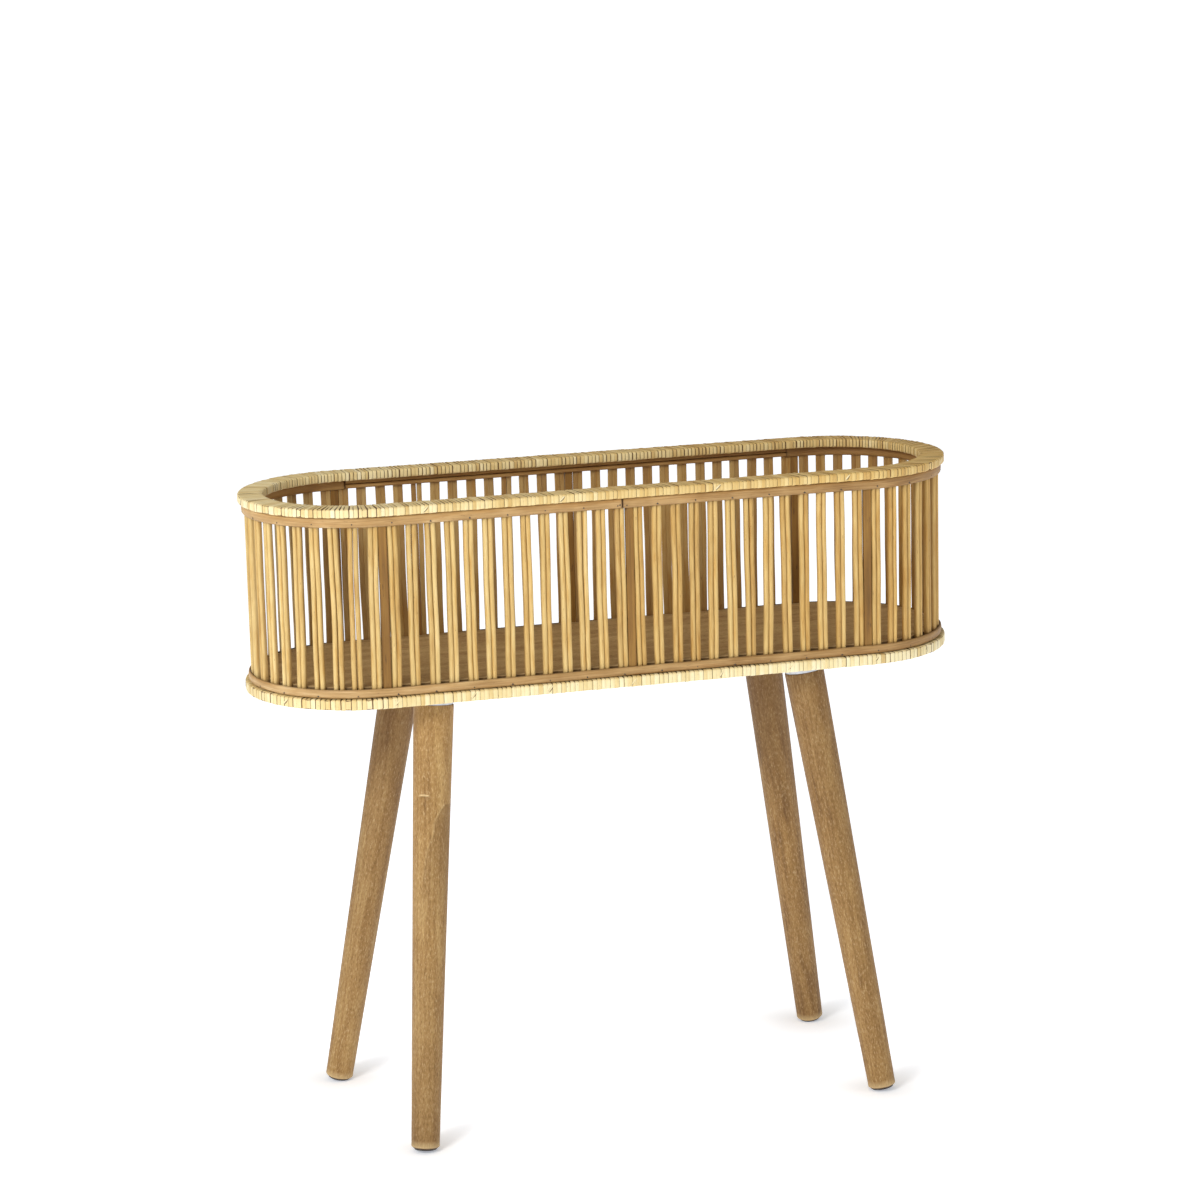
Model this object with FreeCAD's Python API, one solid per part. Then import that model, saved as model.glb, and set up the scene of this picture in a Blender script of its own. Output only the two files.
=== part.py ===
import FreeCAD, Part
import math
import os

# A tall planter: a long open basket of paired rattan reeds, with a bound hoop above and below, on a
# round-ended base board. The reeds are flat towards the inside, where rods and strips line their
# tops, and round towards the outside, where flat bands hold them. Four tapered wooden legs screw into
# slanted steel plates under the board. Lengths are in millimetres. X runs along the basket, the front
# looks towards minus Y, Z is up and the floor is at zero.

V = FreeCAD.Vector

# The plan: two straight sides joined by half-round ends, measured on the middle line of the reeds
straight_length = 542.3
end_radius = 119.5

# The reed wall
pair_pitch = 20.86
reed_width = 5.4
reed_depth = 5.4
reed_gap = 0.3
reed_length = 195.0
post_side_gap = 0.3
post_recess = 0.2
post_edge = 0.6

# The flat bands nailed round the outside
band_gap = 0.1
band_thickness = 2.8
upper_band_height = 11.0
lower_band_height = 10.0
band_joint = 0.5
upper_joint_x = -8.5
lower_joint_x = 10.4

# The lining under the top hoop: two thin rods along each straight side and a flat strip round each
# end, which laps past the end posts
lining_gap = 0.2
lining_joint = 0.5
rod_diameter = 5.0
strip_thickness = 2.6
strip_height = 11.0
strip_lap = 10.6

# The two hoops, each a solid core in a tight binding of cane peel
rim_overhang = 3.75
top_rim_depth = 28.0
top_rim_height = 10.0
bottom_rim_height = 12.0
cane_thickness = 1.0
rim_edge_share = 1.5

# The base board inside the bottom hoop
board_thickness = 20.0
board_gap = 0.3
board_recess = 2.6

# The legs
basket_height = 493.0
leg_top_diameter = 44.0
leg_bottom_diameter = 31.0
leg_edge = 1.5
leg_inset = 59.5
glide_diameter = 25.0
glide_thickness = 2.0

# The slanted plates and what holds each leg to its plate
plate_size = 58.0
plate_corner = 6.0
plate_thickness = 2.0
plate_margin = 3.5
seat_drop = 13.6
seat_margin = 1.0
boss_flare = 2.5
bolt_diameter = 8.0
bolt_gap = 0.05
bolt_depth = 30.0
bolt_end = 1.5
bolt_hole_end = 2.0
bush_wall = 2.5
bush_height_share = 0.5
screw_inset = 8.0
screw_diameter = 3.8
screw_head_diameter = 8.4
screw_head_height = 2.2
screw_gap = 0.2
screw_depth_share = 0.7

# Counts. What repeats is drawn with flats whose corners lie on the round
reeds_in_pair_count = 2
reed_front_count = 4
rod_side_count = 8
screw_side_count = 6
bolt_side_count = 12
leg_side_count = 24
nut_side_count = 6
half_turn = 180.0

# Each leg: name, side along X, side along Y, lean from upright and heading from the X axis in degrees
LEG_ANGLES = [
    ("front_left", -1, -1, 8.8, 56.7),
    ("rear_left", -1, 1, 11.0, 30.0),
    ("front_right", 1, -1, 10.1, 34.2),
    ("rear_right", 1, 1, 11.3, 37.6),
]

# Worked out from the sizes above
half_straight = straight_length / 2
half_side_pairs = max(1, round(half_straight / pair_pitch))
end_pairs = max(2, round(math.pi * end_radius / pair_pitch))
side_pitch = half_straight / half_side_pairs
end_step = math.pi / end_pairs
reed_spacing = reed_width + reed_gap
pair_width = reed_width + reed_spacing
wall_inside = end_radius - reed_depth / 2
wall_outside = end_radius + reed_depth / 2
post_width = min(side_pitch, wall_inside * end_step) - pair_width - 2 * post_side_gap
band_inside = wall_outside + band_gap
band_outside = band_inside + band_thickness
rim_outside = band_outside + rim_overhang
board_outside = wall_inside - board_gap

reed_bottom = basket_height + bottom_rim_height
reed_top = reed_bottom + reed_length
board_bottom = basket_height + board_recess

seat_height = board_bottom - seat_drop
seat_radius = leg_top_diameter / 2 - seat_margin
boss_radius = seat_radius + boss_flare
corner_reach = math.hypot(plate_size / 2, plate_size / 2 - plate_corner)
seat_x = half_straight - leg_inset
seat_y = board_outside - plate_margin - corner_reach
bolt_hole = bolt_diameter + 2 * bolt_gap
bush_height = seat_drop * bush_height_share
screw_depth = board_thickness * screw_depth_share


# Shapes that follow the plan


def plan_face(distance, height):
    """The plan as a flat face: its edge lies this far out from the middle line."""
    right = V(half_straight, 0, height)
    left = V(-half_straight, 0, height)
    out = V(0, distance, 0)
    tip = V(distance, 0, 0)
    edges = [
        Part.LineSegment(left - out, right - out).toShape(),
        Part.Arc(right - out, right + tip, right + out).toShape(),
        Part.LineSegment(right + out, left + out).toShape(),
        Part.Arc(left + out, left - tip, left - out).toShape(),
    ]
    return Part.Face(Part.Wire(edges))


def hoop(section):
    """A closed hoop: a section of (distance out, height) points carried once round the plan."""
    points = [V(half_straight, -out, height) for out, height in section]
    face = Part.Face(Part.makePolygon(points + points[:1]))
    front = face.extrude(V(-straight_length, 0, 0))
    right_end = face.revolve(V(half_straight, 0, 0), V(0, 0, 1), half_turn)
    back = front.copy()
    back.rotate(V(0, 0, 0), V(0, 0, 1), half_turn)
    left_end = right_end.copy()
    left_end.rotate(V(0, 0, 0), V(0, 0, 1), half_turn)
    return front.multiFuse([right_end, back, left_end]).removeSplitter().Solids[0]


def skinned(rings, closed=False):
    """A solid with flat faces between rings of points, closed round or with a flat at each end."""
    faces = []
    pairs = list(zip(rings, rings[1:]))
    if closed:
        pairs.append((rings[-1], rings[0]))
    else:
        faces = [Part.Face(Part.makePolygon(ring + ring[:1])) for ring in (rings[0], rings[-1])]
    for ring, other in pairs:
        for i in range(len(ring)):
            corners = [ring[i - 1], ring[i], other[i], other[i - 1]]
            faces.append(Part.Face(Part.makePolygon(corners + corners[:1])))
    solid = Part.Solid(Part.makeShell(faces))
    if solid.Volume < 0:
        solid.reverse()
    return solid


def end_rings(section, side):
    """The mitred corners of a strip bent in flat steps round one end, one to bear on each pair."""
    corners = [(end_step / 4, end_step / 4)]
    corners += [(end_step * i, end_step / 2) for i in range(1, end_pairs)]
    corners += [(math.pi - end_step / 4, end_step / 4)]
    rings = []
    for turn, half_step in corners:
        out_x = side * math.sin(turn) / math.cos(half_step)
        out_y = -side * math.cos(turn) / math.cos(half_step)
        centre = side * half_straight
        rings.append([V(centre + out * out_x, out * out_y, height) for out, height in section])
    return rings


def mitred_strip(section):
    """A closed hoop bent in flat steps at both ends."""
    return skinned(end_rings(section, 1) + end_rings(section, -1), closed=True)


def end_strip(section, side):
    """A strip bent round one end, that laps a little way onto both straight sides."""
    lap_x = side * (half_straight - strip_lap)
    first = [V(lap_x, -side * out, height) for out, height in section]
    last = [V(lap_x, side * out, height) for out, height in section]
    return skinned([first] + end_rings(section, side) + [last])


def flat_section(inside, outside, bottom, top, edge):
    """A rectangle with its four corners taken off, as section points."""
    return [
        (inside + edge, bottom),
        (outside - edge, bottom),
        (outside, bottom + edge),
        (outside, top - edge),
        (outside - edge, top),
        (inside + edge, top),
        (inside, top - edge),
        (inside, bottom + edge),
    ]


def rim_section(inside, outside, bottom, top, edge):
    """A bound rim's section, eased on the corners that show."""
    return [
        (inside, bottom),
        (outside - edge, bottom),
        (outside, bottom + edge),
        (outside, top - edge),
        (outside - edge, top),
        (inside + edge, top),
        (inside, top - edge),
    ]


def plain_section(inside, outside, bottom, top):
    return [(inside, bottom), (outside, bottom), (outside, top), (inside, top)]


def round_section(distance, height, diameter, flats):
    """A round stick's section, drawn with a few flats whose corners lie on the circle."""
    step = 2 * math.pi / flats
    turns = [step * (i + 1 / 2) for i in range(flats)]
    radius = diameter / 2
    return [(distance + radius * math.cos(a), height + radius * math.sin(a)) for a in turns]


def side_rod(side_y, outside, height):
    """A round stick along one straight side, from one end strip to the other."""
    reach = half_straight - strip_lap - lining_joint
    section = round_section(outside - rod_diameter / 2, height, rod_diameter, rod_side_count)
    points = [V(-reach, side_y * out, z) for out, z in section]
    return Part.Face(Part.makePolygon(points + points[:1])).extrude(V(2 * reach, 0, 0))


def open_joint(ring, side, x):
    """Part a strip where its two ends meet, at x on the front (side -1) or the back (side 1)."""
    box = ring.BoundBox
    gap = Part.makeBox(band_joint, box.YLength / 2, box.ZLength)
    gap.translate(V(x - band_joint / 2, min(0, side * box.YLength / 2), box.ZMin))
    return ring.cut(gap).Solids[0]


# The bound hoops


def bound_rim(inside, bottom, height):
    """The core and its binding of cane peel, which fits the core all round."""
    top = bottom + height
    skin = cane_thickness
    core = mitred_strip(plain_section(inside + skin, rim_outside - skin, bottom + skin, top - skin))
    whole = hoop(rim_section(inside, rim_outside, bottom, top, rim_edge_share * skin))
    return core, whole.cut(core).Solids[0]


# The reed wall


def upright(x, y, section, bottom, length):
    """A stick with the section's points about (x, y), standing on the height given as its bottom."""
    points = [V(x + a, y + b, bottom) for a, b in section]
    return Part.Face(Part.makePolygon(points + points[:1])).extrude(V(0, 0, length))


def reed_section():
    """A reed's section as (along, out) points: flat inside, square sides and a half-round front."""
    radius = reed_width / 2
    centre = reed_depth / 2 - radius
    points = [(radius, -reed_depth / 2)]
    for i in range(reed_front_count + 1):
        turn = math.pi * i / reed_front_count
        points.append((radius * math.cos(turn), centre + radius * math.sin(turn)))
    points.append((-radius, -reed_depth / 2))
    return points


def reed_pair(x, y, out_x, out_y):
    """The reeds of one pair, side by side along the wall."""
    reeds = []
    for i in range(reeds_in_pair_count):
        along = reed_spacing * (i - (reeds_in_pair_count - 1) / 2)
        section = []
        for side, out in reed_section():
            section.append((out * out_x - (along + side) * out_y, out * out_y + (along + side) * out_x))
        reeds.append(upright(x, y, section, reed_bottom, reed_length))
    return reeds


def side_bay(side_x, side_y):
    """Half of one straight side, from its middle post to its end post."""
    reeds = []
    for i in range(half_side_pairs):
        x = side_x * side_pitch * (i + 1 / 2)
        reeds += reed_pair(x, side_y * end_radius, 0, side_y)
    return Part.makeCompound(reeds)


def end_bay(side_x):
    """The half-round end, from one end post to the other."""
    reeds = []
    for i in range(end_pairs):
        turn = end_step * (i + 1 / 2)
        out_x = side_x * math.sin(turn)
        out_y = -math.cos(turn)
        x = side_x * half_straight + end_radius * out_x
        reeds += reed_pair(x, end_radius * out_y, out_x, out_y)
    return Part.makeCompound(reeds)


def post(x, side_y):
    """A flat post that fills the space between two pairs."""
    half_depth = reed_depth / 2 - post_recess
    section = flat_section(-post_width / 2, post_width / 2, -half_depth, half_depth, post_edge)
    return upright(x, side_y * end_radius, section, reed_bottom, reed_length)


# The legs and their plates, drawn about the middle of the slanted seat with X towards the lean


def seat_place(side_x, side_y, heading):
    turn = math.atan2(side_y * math.sin(math.radians(heading)), side_x * math.cos(math.radians(heading)))
    spin = FreeCAD.Rotation(V(0, 0, 1), math.degrees(turn))
    return FreeCAD.Placement(V(side_x * seat_x, side_y * seat_y, seat_height), spin)


def lean_place(lean):
    return FreeCAD.Placement(V(0, 0, 0), FreeCAD.Rotation(V(0, 1, 0), -lean))


def placed(shape, place):
    moved = shape.copy()
    moved.Placement = place.multiply(moved.Placement)
    return moved


def turned(levels):
    """A round piece about the Z axis from (diameter, height) levels, top first."""
    rings = []
    for diameter, height in levels:
        rings.append([V(x, y, height) for x, y in round_section(0, 0, diameter, leg_side_count)])
    return skinned(rings)


def boss(inset, lean):
    """The boss's outside, or its inside for an inset: a flared cup cut off square to the leg."""
    reach = seat_radius * math.tan(math.radians(lean))
    slope = boss_flare / seat_drop
    top = 2 * (boss_radius - inset)
    low = 2 * (seat_radius - inset - slope * reach)
    width = 4 * seat_radius
    below = Part.makeBox(width, width, seat_drop, V(-width / 2, -width / 2, inset - seat_drop))
    return turned([(top, seat_drop), (low, -reach)]).cut(placed(below, lean_place(lean)))


def flange():
    """The plate's flat square with clipped corners, against the board."""
    half = plate_size / 2
    section = flat_section(-half, half, -half, half, plate_corner)
    return upright(0, 0, section, seat_drop - plate_thickness, plate_thickness)


def screw_places():
    reach = plate_size / 2 - screw_inset
    return [(a * reach, b * reach) for a in (-1, 1) for b in (-1, 1)]


def screw_stick(x, y, diameter, bottom, length):
    return upright(x, y, round_section(0, 0, diameter, screw_side_count), bottom, length)


def bolt_stick(diameter, bottom, length):
    return upright(0, 0, round_section(0, 0, diameter, bolt_side_count), bottom, length)


def leg_plate(lean):
    """A pressed plate: the flange and a hollow boss whose end is square to the leg."""
    hole = bolt_stick(bolt_hole, -plate_thickness / 2, 2 * plate_thickness)
    plate = flange().fuse(boss(0, lean)).cut(boss(plate_thickness, lean))
    plate = plate.cut(placed(hole, lean_place(lean)))
    for x, y in screw_places():
        width = screw_diameter + 2 * screw_gap
        plate = plate.cut(screw_stick(x, y, width, seat_drop - 2 * plate_thickness, 3 * plate_thickness))
    return plate.removeSplitter().Solids[0]


def plate_screws():
    """Round-headed screws through the flange into the board."""
    screws = []
    under = seat_drop - plate_thickness
    for x, y in screw_places():
        head = screw_stick(x, y, screw_head_diameter, under - screw_head_height, screw_head_height)
        shank = screw_stick(x, y, screw_diameter, under, plate_thickness + screw_depth)
        screws.append(head.fuse(shank).Solids[0])
    return screws


def pilot_holes():
    """The room that the screws take in the board."""
    width = screw_diameter + 2 * bolt_gap
    length = screw_depth + screw_gap
    bottom = seat_drop - plate_thickness
    return [screw_stick(x, y, width, bottom, length + plate_thickness) for x, y in screw_places()]


def threaded_bush():
    """The six-sided nut pressed into the boss, on the inside of the seat."""
    width = (bolt_hole + 2 * bush_wall) / math.cos(math.pi / nut_side_count)
    body = upright(0, 0, round_section(0, 0, width, nut_side_count), plate_thickness, bush_height)
    return body.cut(bolt_stick(bolt_hole, 0, plate_thickness + 2 * bush_height)).Solids[0]


def hanger_bolt():
    top = plate_thickness + bush_height + bolt_end
    return bolt_stick(bolt_diameter, -bolt_depth, bolt_depth + top)


def leg_reach(lean):
    """From the middle of the seat to the middle of the glide's face, whose edge meets the floor."""
    slope = math.radians(lean)
    return (seat_height - glide_diameter / 2 * math.sin(slope)) / math.cos(slope)


def leg(lean):
    """A round tapered leg, with a small edge at the foot and a hole for its bolt at the top."""
    length = leg_reach(lean) - glide_thickness
    foot = leg_bottom_diameter
    body = turned([(leg_top_diameter, 0), (foot, leg_edge - length), (foot - 2 * leg_edge, -length)])
    depth = bolt_depth + bolt_hole_end
    return body.cut(bolt_stick(bolt_hole, -depth, depth)).Solids[0]


def glide(lean):
    """The thin pad nailed under the foot."""
    section = round_section(0, 0, glide_diameter, leg_side_count)
    return upright(0, 0, section, -leg_reach(lean), glide_thickness)


def base_board():
    board = plan_face(board_outside, board_bottom).extrude(V(0, 0, board_thickness))
    holes = []
    for name, side_x, side_y, lean, heading in LEG_ANGLES:
        holes += [placed(hole, seat_place(side_x, side_y, heading)) for hole in pilot_holes()]
    return board.cut(Part.makeCompound(holes)).Solids[0]


# Building


def basket_parts():
    parts = {}
    bottom_inside = board_outside + board_gap
    parts["bottom_rim_core"], parts["bottom_rim_binding"] = bound_rim(
        bottom_inside, basket_height, bottom_rim_height
    )
    parts["top_rim_core"], parts["top_rim_binding"] = bound_rim(
        rim_outside - top_rim_depth, reed_top, top_rim_height
    )
    upper = plain_section(band_inside, band_outside, reed_top - upper_band_height, reed_top)
    lower = plain_section(band_inside, band_outside, reed_bottom, reed_bottom + lower_band_height)
    parts["upper_outer_band"] = open_joint(mitred_strip(upper), -1, upper_joint_x)
    parts["lower_outer_band"] = open_joint(mitred_strip(lower), 1, lower_joint_x)
    parts["base_board"] = base_board()
    return parts


def lining_parts():
    """What lines the reed tops: a rod above another on each straight side, a strip round each end."""
    parts = {}
    outside = wall_inside - lining_gap
    top = reed_top - lining_gap
    for i, name in enumerate(("inner_rod_upper", "inner_rod_lower")):
        height = top - rod_diameter / 2 - i * (rod_diameter + lining_gap)
        parts[name] = Part.makeCompound([side_rod(side_y, outside, height) for side_y in (-1, 1)])
    section = plain_section(outside - strip_thickness, outside, top - strip_height, top)
    for end, side_x in (("left", -1), ("right", 1)):
        parts["inner_strip_" + end] = end_strip(section, side_x)
    return parts


def wall_parts():
    parts = {}
    for end, side_x in (("left", -1), ("right", 1)):
        parts["reeds_" + end + "_end"] = end_bay(side_x)
        for face, side_y in (("front", -1), ("back", 1)):
            parts["reeds_" + face + "_" + end] = side_bay(side_x, side_y)
            parts["post_" + face + "_" + end] = post(side_x * half_straight, side_y)
    for face, side_y in (("front", -1), ("back", 1)):
        parts["post_" + face + "_middle"] = post(0, side_y)
    return parts


def leg_parts():
    parts = {}
    screws = []
    for name, side_x, side_y, lean, heading in LEG_ANGLES:
        seat = seat_place(side_x, side_y, heading)
        axis = seat.multiply(lean_place(lean))
        parts["leg_" + name] = placed(leg(lean), axis)
        parts["glide_" + name] = placed(glide(lean), axis)
        parts["hanger_bolt_" + name] = placed(hanger_bolt(), axis)
        parts["threaded_bush_" + name] = placed(threaded_bush(), axis)
        parts["leg_plate_" + name] = placed(leg_plate(lean), seat)
        screws += [placed(screw, seat) for screw in plate_screws()]
    parts["plate_screws"] = Part.makeCompound(screws)
    return parts


def main():
    os.makedirs("parts", exist_ok=True)
    for build in (basket_parts, lining_parts, wall_parts, leg_parts):
        for name, shape in build().items():
            shape.exportStep(os.path.join("parts", name + ".step"))


main()
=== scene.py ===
import math
import random

import bmesh
import bpy
from mathutils import Matrix, Vector


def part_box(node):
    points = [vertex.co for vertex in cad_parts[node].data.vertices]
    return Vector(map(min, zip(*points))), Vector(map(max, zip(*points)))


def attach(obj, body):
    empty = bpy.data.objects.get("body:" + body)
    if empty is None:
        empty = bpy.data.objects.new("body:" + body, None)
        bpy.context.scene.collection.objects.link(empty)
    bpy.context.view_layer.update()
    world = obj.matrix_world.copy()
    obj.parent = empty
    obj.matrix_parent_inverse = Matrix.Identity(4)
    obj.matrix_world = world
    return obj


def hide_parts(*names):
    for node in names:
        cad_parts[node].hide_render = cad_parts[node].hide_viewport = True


# The looks of a tall rattan planter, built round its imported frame. Lengths are in metres, X runs
# along the basket, the front looks towards minus Y and the floor is at zero.

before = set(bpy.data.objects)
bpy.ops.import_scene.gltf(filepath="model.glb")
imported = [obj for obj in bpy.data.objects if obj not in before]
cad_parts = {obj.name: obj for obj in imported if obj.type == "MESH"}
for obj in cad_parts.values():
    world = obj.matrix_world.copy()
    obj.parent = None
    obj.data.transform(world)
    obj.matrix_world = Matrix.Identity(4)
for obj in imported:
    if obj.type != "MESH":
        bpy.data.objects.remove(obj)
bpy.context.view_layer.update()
chance = random.Random(7)
REED_SEED = 12
BAND_SEED = 13
LEG_SEED = 14

# Angles above which an edge is drawn sharp, in radians
SHARP = 0.6
BAND_SHARP = 1.1
CAD_SHARP = 0.5
CAD_BEVEL = 0.0003

# Colours: what weathered fibre, and fibre darkened as painted shade, is multiplied by, and how far
# the tints of one kind of strand spread
TAN = (0.88, 0.75, 0.52, 1.0)
TINT_SPREAD = 0.28

# Reeds
REED_DEPTH = 0.0054
REED_WIDTH = 0.0055
REED_SPACING = 0.00545
REED_EASE = 0.0005
REED_CLEARANCE = 0.00002
REED_WAVE = 0.0002
REED_SWELL = 0.014
REED_RINGS = 13
PAIR_LEAN = 0.0009
PAIR_BOW = 0.0004
PAIR_PARTINGS = (0.0, 0.0, 0.0, 0.0, 0.0, 0.0, 0.0003, 0.0006)
SIDE_PAIRS = 13
END_PAIRS = 18

# Wraps of cane peel round the hoops. A row has their pitch, their slants and lightness at the left
# and the right, and how far they are tanned at the left, a quarter of the way along and at the
# right. On the top hoop the wraps grow darker and more tanned towards the right as painted shade.
WRAP_LINE = 0.1140
TOP_WRAPS = (0.0043, (-0.001, -0.011), (0.64, 0.32), (0.10, 0.52, 1.0))
BOTTOM_WRAPS = (0.0050, (0.0, 0.0), (0.66, 0.84), (0.40, 0.12, 0.0))
WRAP_JITTER = 0.0004
WRAP_CORNER = 0.0022
WRAP_SINK = 0.0003
TOP_RIM_DEPTH = 0.0280
BOARD_GAP = 0.0003

# The ends of the cane strips: where they show from the front, and their size
TOP_TIPS = (-0.225, -0.076, 0.098, 0.2465)
BOTTOM_TIPS = (-0.2627, -0.1796, -0.0944)
TONGUE_LENGTH = 0.0080
TONGUE_WIDTH = 0.0027
TONGUE_RINGS = 5

# Bands, lining and nails
BAND_EDGE = 0.0009
BAND_CROWN = 0.0005
BAND_HEM = 0.0001
BAND_BEHIND = 0.0003
BAND_BELOW = 0.0002
BAND_ABOVE = 0.0003
BAND_WAVE = 0.00018
ROD_WAVE = 0.00012
ROD_SIDES = 12
STRIP_WAVE = 0.0001
STRIP_THICKNESS = 0.0026
STEP = 0.0060
END_STEPS = [0.0, 0.0006, 0.0018]
END_STAIN_REACH = 0.0015
UPPER_JOINT_X = -0.0085
LOWER_JOINT_X = 0.0104
JOINT_GAP = 0.0008
NAIL_HEAD = 0.0019
NAIL_RISE = 0.00035
NAIL_ROOT = 0.0006
NAIL_SINK = 0.00025
NAIL_SIDES = 10
NAIL_JITTER = 0.0008
NAIL_SHARE = 0.3
NAILS_BY_JOINT = (-0.0052, 0.0050)
DENT_SIDES = 12

# Legs and fittings
LEG_SIDES = 96
LEG_STEP = 0.0110
LEG_UNEVEN = 0.0025
MARK_STEP = 0.0013
FOOT_EDGE = 0.0015
FOOT_WEAR = 0.0080
BOLT_HOLE_RADIUS = 0.00405
BOLT_HOLE_DEPTH = 0.0320
GLIDE_SIDES = 48
GLIDE_CLEARANCE = 0.00015
SCREW_SIDES = 48
SCREW_REACH = 0.0210
SCREW_HEAD_DIAMETER = 0.0084
SCREW_HEAD_HEIGHT = 0.0022
PLATE_THICKNESS = 0.0020
BOARD_SIDES = 240
BOARD_EDGE = 0.0012
BOARD_RING = 0.0120

# Each leg's tint, lower on the right-hand legs partly as painted shade, and how dark painted
# shade makes it at its foot, middle and top: the basket's shadow near the tops and less light
# towards the feet
LEGS = {
    "front_left": (0.66, 0.34, 0.12, 0.0),
    "rear_left": (0.66, 0.08, 0.26, 0.49),
    "front_right": (0.48, 0.12, 0.18, 0.36),
    "rear_right": (0.32, 0.28, 0.11, 0.54),
}

# Marks on the front left leg: a scar, and a figure in the grain whose edge is given as heights up
# the leg and shares of the way from the middle of its front to its right side
LEG_FRONT = Vector((-0.22, -0.975, 0.0))
SCAR_ALONG = 0.3865
SCAR_ASIDE = -0.42
SCAR_HALF_WIDTH = 0.32
SCAR_ARCH = 0.0016
SCAR_HALF_HEIGHT = 0.0011
FIGURE_EDGE = (
    (0.377, 0.70), (0.375, 0.60), (0.368, 0.38), (0.3595, 0.17),
    (0.3415, 0.04), (0.328, -0.22), (0.29, -0.5), (0.24, -0.7),
)

# Camera, from the photograph's perspective
CAMERA_PLACE = Vector((-1.0526, -3.6761, 1.3659))
CAMERA_PITCH_YAW_ROLL = (11.843, 15.974, 1.417)
CAMERA_LENS = 105.53

# Light. Each lamp has a name, a place, a point that it looks at, a width and a power
LAMPS = (
    ("key", (-2.2, -1.9, 2.05), (-0.1, 0.0, 0.5), 1.0, 53.5),
    ("top", (-0.6, -0.4, 3.2), (0.0, 0.0, 0.3), 2.2, 12.0),
    ("fill", (2.6, -1.5, 1.4), (0.3, 0.0, 0.5), 1.2, 8.5),
)
SKY_COLOUR = (1.0, 0.93, 0.80, 1.0)
SKY_STRENGTH = 0.38

# Floor and backdrop. The glow grows from the first of two distances from a foot to the second; the
# dimmer floor round each foot is painted shade
GLOW_COLOUR = (0.92, 0.985, 1.10, 1.0)
FLOOR_GLOW = 0.74
FOOT_GLOW = 0.33
FOOT_GLOW_REACH = 0.02
FLOOR_GLOW_REACH = 0.12
FLOOR_REACH = 60.0
BACKDROP_GLOW = 0.50
BACKDROP_REACH = 40.0
BACKDROP_HEIGHT = 2.6
BACKDROP_SIDES = 64


def middle(node):
    low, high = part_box(node)
    return (low + high) / 2


# Read from the frame
rim_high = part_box("top_rim_binding")[1]
RIM_OUTSIDE = rim_high.y
HALF_STRAIGHT = rim_high.x - RIM_OUTSIDE
BOARD_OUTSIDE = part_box("base_board")[1].y
REED_LINE = -middle("reeds_front_left").y
SIDE_PITCH = HALF_STRAIGHT / SIDE_PAIRS


# Shapes


def clamp(value):
    return min(1.0, max(0.0, value))


def angles(sides):
    """The angles of the points of one ring."""
    return [2 * math.pi * j / sides for j in range(sides)]


def plan(distance, line, out):
    """A place on the plan. The distance runs from the middle of the front towards the right and is
    measured on one line; the place lies this far out."""
    straight = 2 * HALF_STRAIGHT
    half_loop = straight + math.pi * line
    distance = (distance + HALF_STRAIGHT) % (2 * half_loop)
    side = 1 if distance < half_loop else -1
    distance %= half_loop
    if distance < straight:
        x, normal_x, normal_y = distance - HALF_STRAIGHT, 0.0, -1.0
    else:
        turn = (distance - straight) / line
        x, normal_x, normal_y = HALF_STRAIGHT, math.sin(turn), -math.cos(turn)
    return Vector((side * (x + out * normal_x), side * out * normal_y))


def stretch(distance, line, out):
    """How much longer a step is at this distance out than on the line: only the ends differ."""
    half_loop = 2 * HALF_STRAIGHT + math.pi * line
    on_straight = (distance + HALF_STRAIGHT) % half_loop < 2 * HALF_STRAIGHT
    return 1.0 if on_straight else out / line


def loop_length(line):
    return 4 * HALF_STRAIGHT + 2 * math.pi * line


def plan_point(distance, line, out, height):
    place = plan(distance, line, out)
    return Vector((place.x, place.y, height))


class Strands:
    """The strips and sticks of one piece. Each point also holds its place along and across the
    grain, the tint of its strand, how dark it is made by stains and by painted shade, and how
    much it is worn or tanned, which in places is painted light and shade too."""

    def __init__(self):
        self.points = []
        self.faces = []
        self.grain = []
        self.tint = []
        self.stain_and_shade = []
        self.wear_and_painted_light = []

    def point(self, place, grain, tint, stain_and_shade=0.0, wear_and_painted_light=0.0):
        self.points.append(place)
        self.grain.append(grain)
        self.tint.append(tint)
        self.stain_and_shade.append(stain_and_shade)
        self.wear_and_painted_light.append(wear_and_painted_light)

    def skin(self, start, rings, sides, closed=False):
        """Faces over rings of points that were added in order from this start."""
        for i in range(rings if closed else rings - 1):
            a = start + i * sides
            b = start + (i + 1) % rings * sides
            for j in range(sides):
                k = (j + 1) % sides
                self.faces.append((a + j, a + k, b + k, b + j))
        if not closed:
            self.faces.append(tuple(range(start + sides - 1, start - 1, -1)))
            last = start + (rings - 1) * sides
            self.faces.append(tuple(range(last, last + sides)))


def add_object(name, data):
    made = bpy.data.objects.new(name, data)
    bpy.context.scene.collection.objects.link(made)
    return made


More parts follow.
